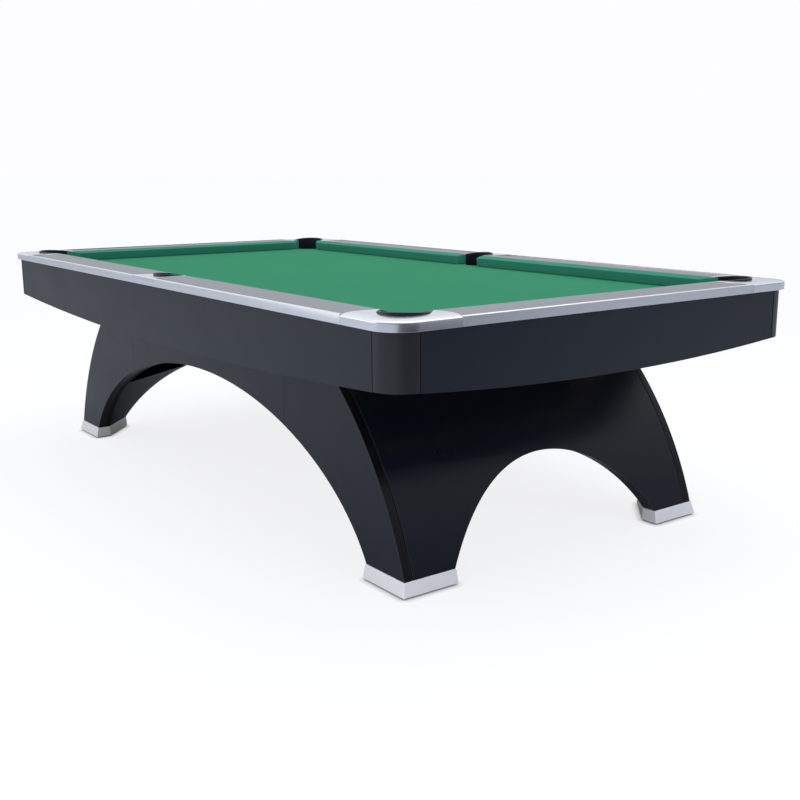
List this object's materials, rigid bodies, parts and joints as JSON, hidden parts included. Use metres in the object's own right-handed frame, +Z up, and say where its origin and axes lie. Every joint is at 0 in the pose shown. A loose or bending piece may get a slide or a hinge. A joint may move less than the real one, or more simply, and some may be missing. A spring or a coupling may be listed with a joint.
{
  "type": "pool table",
  "caption": "Nine-foot pool table with green cloth bed and cushions, pale metal rail trim and pocket castings, black liners, curved charcoal aprons and an arched base on levelling feet.",
  "frame": {"origin": "centre of the footprint, on the floor under the levelling feet", "axes": "+X along the table's length, +Y across it, +Z up"},
  "size_m": [2.886, 1.616, 0.818],
  "materials": {
    "slate": "honed grey slate",
    "bed_cloth": "green napless woven billiard cloth",
    "cushion_cloth": "green woven billiard cloth over rubber",
    "backing": "birch plywood",
    "beam": "planed softwood",
    "sub_rail": "hardwood",
    "rail_cap": "satin grey laminate with a fine grain",
    "trim": "satin anodised, brushed lengthwise",
    "casting": "fine satin cast metal",
    "liner": "black moulded rubber",
    "cup": "black moulded plastic",
    "apron": "charcoal satin laminate on board",
    "apron_corner": "black-brown moulded corner",
    "base_panel": "charcoal satin laminate on board",
    "end_panel": "black satin lacquer on bent plywood",
    "inner_board": "black painted board",
    "shoe": "satin cast metal",
    "levelling_foot": "zinc plated steel",
    "bracket": "black painted steel",
    "bolt": "zinc plated steel"
  },
  "bodies": {
    "table": {"apron_back": "apron", "apron_brackets": "bracket", "apron_corners": "apron_corner", "apron_front": "apron", "apron_left": "apron", "apron_right": "apron", "bed_cloth": "bed_cloth", "bridge_panel_back": "base_panel", "bridge_panel_front": "base_panel", "corner_casting_back_left": "casting", "corner_casting_back_right": "casting", "corner_casting_front_left": "casting", "corner_casting_front_right": "casting", "corner_liners": "liner", "cross_beams": "beam", "cushion_back_left": "cushion_cloth", "cushion_back_right": "cushion_cloth", "cushion_end_left": "cushion_cloth", "cushion_end_right": "cushion_cloth", "cushion_front_left": "cushion_cloth", "cushion_front_right": "cushion_cloth", "edge_trim_back": "trim", "edge_trim_front": "trim", "edge_trim_left": "trim", "edge_trim_right": "trim", "end_panel_left": "end_panel", "end_panel_right": "end_panel", "foot_blocks": "inner_board", "foot_shoe_back_left": "shoe", "foot_shoe_back_right": "shoe", "foot_shoe_front_left": "shoe", "foot_shoe_front_right": "shoe", "leg_side_back_left": "base_panel", "leg_side_back_right": "base_panel", "leg_side_front_left": "base_panel", "leg_side_front_right": "base_panel", "leg_webs": "inner_board", "long_beams": "beam", "pocket_cups": "cup", "rail_bolts": "bolt", "rail_cap_back_left": "rail_cap", "rail_cap_back_right": "rail_cap", "rail_cap_end_left": "rail_cap", "rail_cap_end_right": "rail_cap", "rail_cap_front_left": "rail_cap", "rail_cap_front_right": "rail_cap", "side_boards": "inner_board", "side_casting_back": "casting", "side_casting_front": "casting", "side_liners": "liner", "slate_backing": "backing", "slate_centre": "slate", "slate_left": "slate", "slate_right": "slate", "sub_rails": "sub_rail"},
    "foot_back_left": {"levelling_foot_back_left": "levelling_foot"},
    "foot_back_right": {"levelling_foot_back_right": "levelling_foot"},
    "foot_front_left": {"levelling_foot_front_left": "levelling_foot"},
    "foot_front_right": {"levelling_foot_front_right": "levelling_foot"}
  },
  "joints": [
    {"name": "foot_back_left_screw_out", "type": "slide", "parent": "table", "child": "foot_back_left", "axis": [0, 0, 1], "range_m": [-0.02, 0]},
    {"name": "foot_back_right_screw_out", "type": "slide", "parent": "table", "child": "foot_back_right", "axis": [0, 0, 1], "range_m": [-0.02, 0]},
    {"name": "foot_front_left_screw_out", "type": "slide", "parent": "table", "child": "foot_front_left", "axis": [0, 0, 1], "range_m": [-0.02, 0]},
    {"name": "foot_front_right_screw_out", "type": "slide", "parent": "table", "child": "foot_front_right", "axis": [0, 0, 1], "range_m": [-0.02, 0]}
  ]
}
